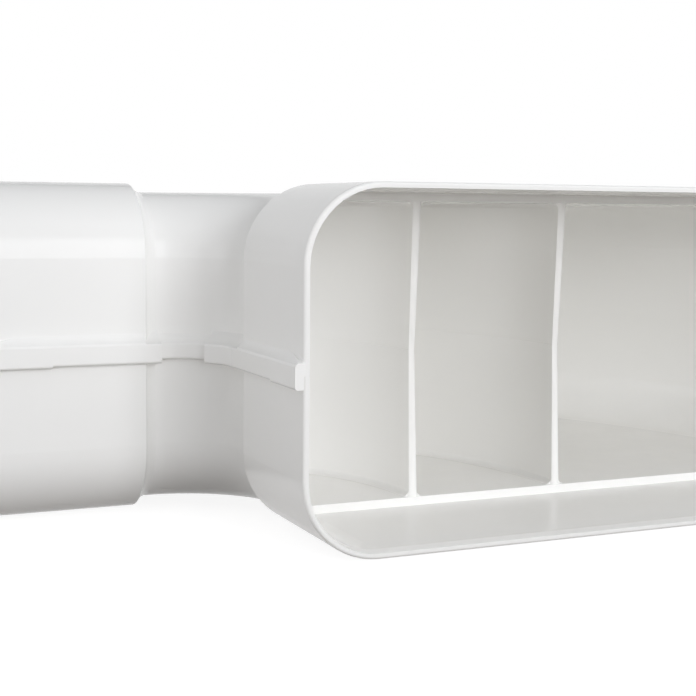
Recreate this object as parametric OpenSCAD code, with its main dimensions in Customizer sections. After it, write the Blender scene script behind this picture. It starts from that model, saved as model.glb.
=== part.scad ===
// Flat duct bend, 90 degrees, lying flat: two moulded half shells joined at mid height.
// Both ends are sockets that take a flat rectangular duct with rounded corners. The
// bend between them is as high and wide as that duct, so the bore runs on without a lip,
// and two curved guide vanes split it. Socket B opens to -Y and socket A to -X.

/* [Duct that plugs in] */
// Outside width of the duct that plugs in
duct_w = 220; // [180:1:320]
// Outside height of the duct that plugs in
duct_h = 90; // [70:1:140]
// Outside corner radius of the duct that plugs in
duct_r = 18.5; // [12:0.5:24]
// Play between duct and socket, on each side
fit_play = 0.5; // [0.2:0.1:1]

/* [Sockets] */
// Wall of the sockets
wall = 2; // [1.5:0.1:2.5]
// Length of a socket outside, from its rim to its back end
socket_len = 44; // [30:1:60]
// How far the inner stop lies behind the back end of the socket
stop_back = 0.7; // [0.5:0.1:1.2]
// Rounding of the outer edge of the rim
rim_round = 0.8; // [0.4:0.1:0.9]
// Length of the lead-in inside the rim
lead_len = 3; // [2:0.5:5]
// How much the lead-in opens the rim, on each side
lead_open = 0.5; // [0.2:0.1:0.6]

/* [Bend] */
// Wall of the bend
bend_wall = 2; // [1.6:0.1:2.2]
// Radius of the outside of the bend at its inner corner
inner_r = 20; // [16:1:60]
// Length of the hollow back end of each socket
slope_len = 3.4; // [2.5:0.1:4]
// Radius of that hollow, as a multiple of its width
back_hollow = 1.15; // [0.9:0.05:1.6]
// Straight neck between the back end of a socket and the curve
neck = 4; // [4:0.5:8]

/* [Guide vanes] */
// Distance from the inner wall to the middle of the first vane
vane_1_out = 48.5; // [35:0.5:60]
// Distance from the first vane to the second
vane_pitch = 49; // [30:1:60]
// Thickness of a vane where it grows out of the wall
vane_root = 2.6; // [2.2:0.1:3.2]
// Thickness of a vane at mid height
vane_tip = 1.8; // [1.4:0.1:2]
// How far a vane's end lies behind the stop, at the wall
vane_back = 0.3; // [0.2:0.1:0.8]
// How much further back a vane's end lies at mid height
vane_lean = 2.5; // [0:0.1:2.6]
// Radius of the nose of a vane
vane_nose = 1.8; // [1.6:0.1:3]
// Height of the hollow foot where a vane grows out of the wall
vane_foot = 1.5; // [0.8:0.1:2]
// Chamfer along the edges where the halves of a vane meet, seen as a fine groove
vane_groove = 0.1; // [0.1:0.05:0.4]

/* [Joint band] */
// How far the band stands out from the wall
band_out = 2.3; // [1.6:0.1:3]
// Height of the band above mid height, up to the edge of its slope
band_up = 2.8; // [2:0.1:5]
// Height of the hollow slope that runs the band out into the wall
band_slope = 2.4; // [1:0.1:4]
// Height of the band along the bend, up to the edge of its slope
bend_up = 2.5; // [1.8:0.1:4.7]
// Height of that slope where the band stays flush with socket B's
flush_slope = 3.3; // [2:0.1:4]
// Radius of the hollow slopes, as a multiple of their width
hollow = 1.2; // [0.86:0.02:1.6]
// Depth of the steep chamfer along the upper edge of the band
band_edge = 0.25; // [0.1:0.05:0.4]
// Length over which the slope of the band rises from each rim
ramp_len = 9; // [5:0.5:20]
// Height of the slope at the rim
ramp_low = 0.4; // [0.2:0.1:0.6]
// How far the skirt of the band hangs below mid height
skirt_down = 3; // [2:0.1:5]
// Rounding of the lower edge of the skirt
skirt_round = 0.8; // [0.3:0.1:0.8]
// How much less the skirt hangs down along the bend
skirt_rise = 0.8; // [0:0.1:1.5]
// How much more the skirt hangs down near each rim
lip_drop = 0.4; // [0:0.1:1]
// Length of the deeper skirt, from the rim
lip_len = 17.5; // [10:0.5:25]
// Gap between the skirt and the lower shell
skirt_gap = 0.3; // [0.2:0.05:0.5]
// Length over which the gap is closed at each rim
rim_close = 2; // [1:0.5:5]
// Angle of the bend over which the band stays flush with that of socket B
flush_angle = 44; // [20:1:60]

/* [Hidden] */
$fn = 96;
lap = 0.5;

// Sockets and bend share one line of corner centres, and each wall surface lies a
// fixed distance outside that line
sock_out = duct_r + fit_play + wall;
sock_in = duct_r + fit_play;
bend_out = duct_r;
bend_in = duct_r - bend_wall;
core_w = duct_w - 2 * duct_r;
core_h = duct_h - 2 * duct_r;
step_out = sock_out - bend_out;
mid_z = core_h / 2 + sock_out;

// The curve turns about an upright axis at (neck, neck)
core_x = inner_r + bend_out;
outer_r = core_x + core_w + bend_out;
vane_1_r = inner_r + bend_wall + vane_1_out;
vane_2_r = vane_1_r + vane_pitch;

// The middle of the part's outline goes on the origin
mid_xy = (neck + core_x + core_w + sock_out + band_out - socket_len) / 2;

// Wall of a socket with its rim, stop and hollow back: distance out, then place along Y.
// The hollow is an arc that runs on a little way into the wall of the neck.
module socket_profile() {
    rise = sqrt(back_hollow * back_hollow - 0.25);
    middle = [bend_out + step_out / 2 + rise * slope_len, slope_len / 2 + rise * step_out];
    difference() {
        union() {
            translate([bend_in, -socket_len + rim_round])
                square([sock_out - bend_in, socket_len - rim_round]);
            translate([bend_in, -socket_len])
                square([sock_out - rim_round - bend_in, socket_len]);
            translate([sock_out - rim_round, -socket_len + rim_round]) circle(r = rim_round);
            translate([bend_in, -lap]) square([bend_out - bend_in, lap + neck]);
            difference() {
                translate([bend_in, -lap])
                    square([sock_out - bend_in, lap + min(middle[1], neck)]);
                translate(middle) circle(r = back_hollow * norm([step_out, slope_len]));
            }
        }
        translate([bend_in - 1, -socket_len - 1])
            square([sock_in - bend_in + 1, socket_len + 1 + stop_back]);
        polygon([[sock_in - lap, -socket_len - 1],
                 [sock_in + lead_open * (1 + 1 / lead_len), -socket_len - 1],
                 [sock_in, -socket_len + lead_len], [sock_in - lap, -socket_len + lead_len]]);
    }
}

// Upper half of a tube along Y: the profile runs up one flank, over the top and down
module half_tube() {
    for (right = [0, 1])
        translate([right * core_w, 0, core_h / 2])
            rotate([-90, 0, 0]) rotate([0, 0, right ? -90 : 180])
                rotate_extrude(angle = 90) children();
    translate([core_w, 0, core_h / 2]) rotate([0, -90, 0]) linear_extrude(core_w) children();
    translate([core_w, 0, 0]) linear_extrude(core_h / 2) children();
    translate([0, 0, core_h / 2]) rotate([0, 180, 0]) linear_extrude(core_h / 2) children();
}

// Rounded rectangle that lies the distance d outside the line of corner centres
module section(d) {
    translate([0, -core_h / 2 - d]) square([core_w, core_h + 2 * d]);
    translate([-d, -core_h / 2]) square([core_w + 2 * d, core_h]);
    for (x = [0, core_w], y = [-core_h / 2, core_h / 2]) translate([x, y]) circle(r = d);
}

// Turns a section of radius and height through the bend, or through part of it
module turn(from = 0, to = 90) {
    translate([neck, neck, 0]) rotate([0, 0, from]) rotate_extrude(angle = to - from) children();
}

module bend_wall_section() {
    difference() {
        translate([core_x, 0]) section(bend_out);
        translate([core_x, 0]) section(bend_in);
        translate([0, -mid_z - 1]) square([outer_r + 1, mid_z + 1]);
    }
}

// Half of a vane in section. It thickens from mid height to its hollow foot, whose arcs
// run on a little way into the vane and into the wall.
module vane_section(r) {
    h = core_h / 2 + bend_in;
    out = vane_foot * (1 + sqrt(3)) / 2;
    translate([r, 0]) {
        polygon([[vane_groove - vane_tip / 2, 0], [vane_tip / 2 - vane_groove, 0],
                 [vane_tip / 2, vane_groove], [vane_root / 2, h + bend_wall / 2],
                 [-vane_root / 2, h + bend_wall / 2], [-vane_tip / 2, vane_groove]]);
        difference() {
            translate([-vane_root / 2 - out, h - out])
                square([vane_root + 2 * out, out + bend_wall / 2]);
            for (side = [-1, 1]) translate([side * (vane_root / 2 + out), h - out])
                circle(r = vane_foot * sqrt(2));
        }
    }
}

// Straight end of a vane in the neck. Its round nose leans back towards mid height.
module vane_end(r) {
    h = core_h / 2 + bend_in;
    half = vane_root + 2 * vane_foot;
    intersection() {
        translate([neck, neck, 0]) rotate([90, 0, 0]) linear_extrude(neck - stop_back)
            vane_section(r);
        translate([neck + r, stop_back + vane_back + vane_lean, 0])
            rotate([atan(vane_lean / h), 0, 0]) translate([0, 0, -neck])
                linear_extrude(h + 2 * neck) {
                    translate([0, vane_nose]) circle(r = vane_nose);
                    translate([-half, vane_nose / 2]) square([2 * half, 2 * neck]);
                }
    }
}

module both_ends() {
    children();
    mirror([1, -1, 0]) children();
}

// What both moulded halves share: two half sockets and half of each vane
module sockets_and_vanes() {
    both_ends() translate([neck + core_x, 0, 0]) half_tube() socket_profile();
    for (r = [vane_1_r, vane_2_r]) {
        turn() vane_section(r);
        both_ends() vane_end(r);
    }
}

// Joint band in section: distance out of the wall, then height over mid height. It ends
// upwards in a hollow slope that runs on a little way into the wall, and downwards in a
// skirt with a round edge that hangs over the lower shell.
module band_section(out, up, slope, down, gap = skirt_gap) {
    rise = sqrt(hollow * hollow - 0.25);
    middle = [out / 2 + rise * slope, up + slope / 2 + rise * out];
    difference() {
        union() {
            translate([-lap, skirt_round - down])
                square([out + lap, middle[1] + down - skirt_round]);
            translate([-lap, -down]) square([out + lap - skirt_round, down]);
            translate([out - skirt_round, skirt_round - down]) circle(r = skirt_round);
        }
        translate(middle) circle(r = hollow * norm([out, slope]));
        translate([-lap - 1, -down - 1]) square([lap + 1 + gap, down + 1]);
        polygon([[out + 1, up - 2 * band_edge - 2], [out + 1, up + 2],
                 [out - band_edge - 1, up + 2]]);
    }
}

// The same band where it stays flush with socket B's while the wall steps back
module flush_section(gap) {
    band_section(step_out + band_out, bend_up, flush_slope, skirt_down, gap);
}

// Length of band along a flank that faces +X, or -X where out is -1, between two places
module flank_band(x, out, from, to) {
    translate([x, to, 0]) rotate([90, 0, 0]) linear_extrude(to - from)
        mirror([out < 0 ? 1 : 0, 0]) children();
}

// What is cut off the slope of the band, so that it rises from the rim at the place y
module rim_ramp(x, y) {
    reach = band_out + lap + 1;
    low = band_up + ramp_low;
    climb = band_slope / ramp_len;
    translate([x - reach, y, 0]) rotate([90, 0, 90]) linear_extrude(2 * reach)
        polygon([[-1, low - climb], [ramp_len, low + band_slope],
                 [ramp_len, low + 4 * band_slope], [-1, low + 4 * band_slope]]);
}

module socket_bands() {
    for (side = [[neck + inner_r, -1], [neck + outer_r, 1]]) {
        x = side[0] + side[1] * step_out;
        rim = -socket_len;
        difference() {
            union() {
                flank_band(x, side[1], rim, rim + rim_close)
                    band_section(band_out, band_up, band_slope, skirt_down + lip_drop, 0);
                flank_band(x, side[1], rim + rim_close, rim + lip_len)
                    band_section(band_out, band_up, band_slope, skirt_down + lip_drop);
                flank_band(x, side[1], rim + lip_len, -lap)
                    band_section(band_out, band_up, band_slope, skirt_down);
            }
            rim_ramp(x, rim);
        }
        flank_band(side[0], side[1], -lap, neck) flush_section(step_out + skirt_gap);
    }
}

// Upper half of the bend with its band, which stays flush with socket B's for a while
module banded_bend() {
    turn() {
        bend_wall_section();
        for (side = [0, 1]) translate([side ? outer_r : inner_r, 0]) mirror([1 - side, 0])
            band_section(band_out, bend_up, band_slope, skirt_down - skirt_rise);
    }
    turn(0, flush_angle) translate([inner_r, 0]) mirror([1, 0]) flush_section(1);
}

module upper_shell() {
    color("white") translate([-mid_xy, -mid_xy, mid_z]) {
        sockets_and_vanes();
        both_ends() socket_bands();
        banded_bend();
    }
}

module lower_shell() {
    color("whitesmoke") translate([-mid_xy, -mid_xy, mid_z]) mirror([0, 0, 1]) {
        sockets_and_vanes();
        turn() bend_wall_section();
    }
}

upper_shell();
lower_shell();
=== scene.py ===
# Looks of the flat duct bend: glossy white moulded plastic on a plain pale floor
import bpy
import math
from mathutils import Matrix, Vector

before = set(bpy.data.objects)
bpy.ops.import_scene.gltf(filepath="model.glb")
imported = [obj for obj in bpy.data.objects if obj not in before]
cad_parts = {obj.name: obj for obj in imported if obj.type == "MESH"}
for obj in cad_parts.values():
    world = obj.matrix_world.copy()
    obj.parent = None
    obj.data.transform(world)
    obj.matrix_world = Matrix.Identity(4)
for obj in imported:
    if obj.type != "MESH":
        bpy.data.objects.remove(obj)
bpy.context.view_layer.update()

# Camera, solved from the photograph's edges, in metres and degrees
CAMERA_PLACE = Vector((-0.20082, -0.44345, 0.08776))
CAMERA_TURN = 23.887
CAMERA_PITCH = 5.913
CAMERA_ROLL = 0.539
CAMERA_LENS = 68.70

PLASTIC_IOR = 1.25
SOFTBOX_COLOR = (0.985, 1.0, 1.03)


def add_camera():
    data = bpy.data.cameras.new("camera")
    data.sensor_width = 36
    data.lens = CAMERA_LENS
    data.clip_start = 0.01
    data.clip_end = 100
    camera = bpy.data.objects.new("camera", data)
    bpy.context.scene.collection.objects.link(camera)
    camera.matrix_world = (
        Matrix.Translation(CAMERA_PLACE)
        @ Matrix.Rotation(math.radians(-CAMERA_TURN), 4, "Z")
        @ Matrix.Rotation(math.radians(90 - CAMERA_PITCH), 4, "X")
        @ Matrix.Rotation(math.radians(CAMERA_ROLL), 4, "Z")
    )
    bpy.context.scene.camera = camera


def put(tree, kind, settings=None, **inputs):
    """Adds a node with its settings, and gives its inputs a value or a link"""
    node = tree.nodes.new(kind)
    for name, value in (settings or {}).items():
        setattr(node, name, value)
    for name, value in inputs.items():
        socket = node.inputs[int(name[1:])] if name[0] == "_" else node.inputs[name.replace("_", " ")]
        if isinstance(value, bpy.types.NodeSocket):
            tree.links.new(value, socket)
        else:
            socket.default_value = value
    return node


def math_node(tree, operation, *values):
    return put(tree, "ShaderNodeMath", {"operation": operation},
               **{f"_{i}": v for i, v in enumerate(values)}).outputs[0]


def new_group(name, inputs, outputs):
    group = bpy.data.node_groups.new(name, "ShaderNodeTree")
    for socket, kind, value in inputs:
        made = group.interface.new_socket(socket, in_out="INPUT", socket_type=kind)
        made.default_value = value
    for socket, kind in outputs:
        group.interface.new_socket(socket, in_out="OUTPUT", socket_type=kind)
    return group, group.nodes.new("NodeGroupInput"), group.nodes.new("NodeGroupOutput")


def moulded_skin_group():
    """Flow clouding, long waves and fine grain of a moulded wall, over Object coordinates"""
    number, color = "NodeSocketFloat", "NodeSocketColor"
    tree, taken, given = new_group(
        "moulded_skin",
        [("Color", color, (0.9, 0.9, 0.9, 1)), ("Cloud Color", color, (0.8, 0.8, 0.8, 1)),
         ("Clouding", number, 0.2), ("Roughness", number, 0.17), ("Roughness Play", number, 0.05),
         ("Wave Height", number, 0.000002), ("Grain Height", number, 0.0000004),
         ("Shift", number, 0.0)],
        [("Color", color), ("Roughness", number), ("Height", number)])
    place = put(tree, "ShaderNodeTexCoord").outputs["Object"]
    moved = put(tree, "ShaderNodeVectorMath", {"operation": "ADD"}, _0=place).outputs[0]
    tree.links.new(taken.outputs["Shift"], moved.node.inputs[1])

    def noise(scale, detail, roughness=0.5):
        return put(tree, "ShaderNodeTexNoise", Vector=moved, Scale=scale, Detail=detail,
                   Roughness=roughness).outputs["Fac"]

    cloud = put(tree, "ShaderNodeMapRange", Value=noise(14, 3), _1=0.35, _2=0.65).outputs[0]
    amount = math_node(tree, "MULTIPLY", cloud, taken.outputs["Clouding"])
    mixed = put(tree, "ShaderNodeMix", {"data_type": "RGBA"})
    tree.links.new(amount, mixed.inputs[0])
    tree.links.new(taken.outputs["Color"], mixed.inputs[6])
    tree.links.new(taken.outputs["Cloud Color"], mixed.inputs[7])
    tree.links.new(mixed.outputs[2], given.inputs["Color"])

    dull = put(tree, "ShaderNodeMapRange", Value=noise(60, 5, 0.65), _1=0.3, _2=0.7).outputs[0]
    play = math_node(tree, "MULTIPLY", dull, taken.outputs["Roughness Play"])
    tree.links.new(math_node(tree, "ADD", play, taken.outputs["Roughness"]),
                   given.inputs["Roughness"])

    waves = math_node(tree, "MULTIPLY", noise(22, 1), taken.outputs["Wave Height"])
    grain = math_node(tree, "MULTIPLY", noise(700, 2), taken.outputs["Grain Height"])
    tree.links.new(math_node(tree, "ADD", waves, grain), given.inputs["Height"])
    return tree


def gloss_plastic(name, color, cloud, shift, skin):
    material = bpy.data.materials.new(name)
    material.use_nodes = True
    tree = material.node_tree
    shader = tree.nodes["Principled BSDF"]
    shader.inputs["IOR"].default_value = PLASTIC_IOR
    surface = put(tree, "ShaderNodeGroup", {"node_tree": skin}, Color=(*color, 1),
                  Cloud_Color=(*cloud, 1), Shift=shift)
    tree.links.new(surface.outputs["Color"], shader.inputs["Base Color"])
    tree.links.new(surface.outputs["Roughness"], shader.inputs["Roughness"])
    bump = put(tree, "ShaderNodeBump", Height=surface.outputs["Height"], Distance=1.0)
    tree.links.new(bump.outputs[0], shader.inputs["Normal"])
    return material


def dress(node, material):
    node.data.materials.clear()
    node.data.materials.append(material)


def rays_that_show(tree):
    """1 for rays that see the background: from the camera, off a gloss or through glass"""
    path = put(tree, "ShaderNodeLightPath")
    most = math_node(tree, "MAXIMUM", path.outputs["Is Camera Ray"], path.outputs["Is Glossy Ray"])
    return math_node(tree, "MAXIMUM", most, path.outputs["Is Transmission Ray"])


def studio_paper(name, lit_color, lit_glow, glow, white):
    """Paper that shows white with a soft shadow, and lights the part as a darker one would"""
    material = bpy.data.materials.new(name)
    material.use_nodes = True
    tree = material.node_tree
    tree.nodes.clear()
    lit = put(tree, "ShaderNodeAddShader",
              _0=put(tree, "ShaderNodeBsdfDiffuse", Color=(*lit_color, 1)).outputs[0],
              _1=put(tree, "ShaderNodeEmission", Strength=lit_glow).outputs[0])
    seen = put(tree, "ShaderNodeAddShader",
               _0=put(tree, "ShaderNodeBsdfDiffuse", Color=(white, white, white, 1)).outputs[0],
               _1=put(tree, "ShaderNodeEmission", Strength=glow).outputs[0])
    mix = put(tree, "ShaderNodeMixShader", _0=rays_that_show(tree), _1=lit.outputs[0],
              _2=seen.outputs[0])
    put(tree, "ShaderNodeOutputMaterial", Surface=mix.outputs[0])
    return material


def add_floor_and_backdrop():
    bpy.ops.object.select_all(action="DESELECT")
    bpy.ops.mesh.primitive_circle_add(vertices=96, radius=5, fill_type="NGON",
                                      location=(0, 0, -0.0002))
    floor = bpy.context.object
    floor.name = "floor"
    bpy.ops.object.transform_apply()
    floor.data.materials.append(studio_paper("floor_paper", (0.19, 0.165, 0.14), 0.03, 0.88, 0.3))
    bpy.ops.object.select_all(action="DESELECT")
    bpy.ops.mesh.primitive_cylinder_add(vertices=96, radius=5, depth=2.8, end_fill_type="NOTHING",
                                        location=(0, 0, 1.3998))
    backdrop = bpy.context.object
    backdrop.name = "backdrop"
    bpy.ops.object.transform_apply()
    backdrop.data.materials.append(studio_paper("backdrop_paper", (0.05, 0.05, 0.05), 0.2, 1, 0))


def softbox(name, azimuth, low, high, spread, radiance, away=1.3):
    """Area lamp that faces the part, between two elevations, with a radiance"""
    data = bpy.data.lights.new(name, "AREA")
    data.shape = "RECTANGLE"
    tilt = math.radians((low + high) / 2)
    turn = math.radians(azimuth)
    data.size = 2 * away * math.tan(math.radians(spread / 2))
    data.size_y = 2 * away * math.tan(math.radians((high - low) / 2))
    data.energy = radiance * math.pi * data.size * data.size_y
    data.color = SOFTBOX_COLOR
    lamp = bpy.data.objects.new(name, data)
    bpy.context.scene.collection.objects.link(lamp)
    aim = Vector((0, 0, 0.05))
    off = Vector((math.cos(turn) * math.cos(tilt), math.sin(turn) * math.cos(tilt), math.sin(tilt)))
    lamp.location = aim + away * off
    lamp.rotation_euler = off.to_track_quat("Z", "Y").to_euler()
    lamp.visible_camera = False
    return lamp


def add_world(strength):
    world = bpy.data.worlds.new("studio")
    bpy.context.scene.world = world
    world.use_nodes = True
    world.node_tree.nodes["Background"].inputs["Color"].default_value = (1, 1, 1, 1)
    world.node_tree.nodes["Background"].inputs["Strength"].default_value = strength


add_camera()
skin = moulded_skin_group()
dress(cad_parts["upper_shell"],
      gloss_plastic("upper_shell_plastic", (0.935, 0.93, 0.913), (0.92, 0.912, 0.89), 0.0, skin))
dress(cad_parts["lower_shell"],
      gloss_plastic("lower_shell_plastic", (0.93, 0.925, 0.907), (0.915, 0.907, 0.885), 0.37, skin))
add_floor_and_backdrop()
softbox("front_softbox", -83, 0, 27, 22, 7.1)
softbox("side_softbox", -116, 0, 13, 44, 2.6)
softbox("left_softbox", 167, 0, 13, 70, 3.5)
softbox("high_left_softbox", 185, 28, 60, 60, 0.4)
softbox("high_right_softbox", -50, 28, 60, 45, 1.35)
softbox("right_softbox", 0, 0, 27, 50, 1.2)
softbox("back_softbox", 90, 40, 75, 70, 0.35)
add_world(0.15)
bpy.context.scene.view_settings.view_transform = "Standard"
bpy.context.scene.cycles.diffuse_bounces = 12
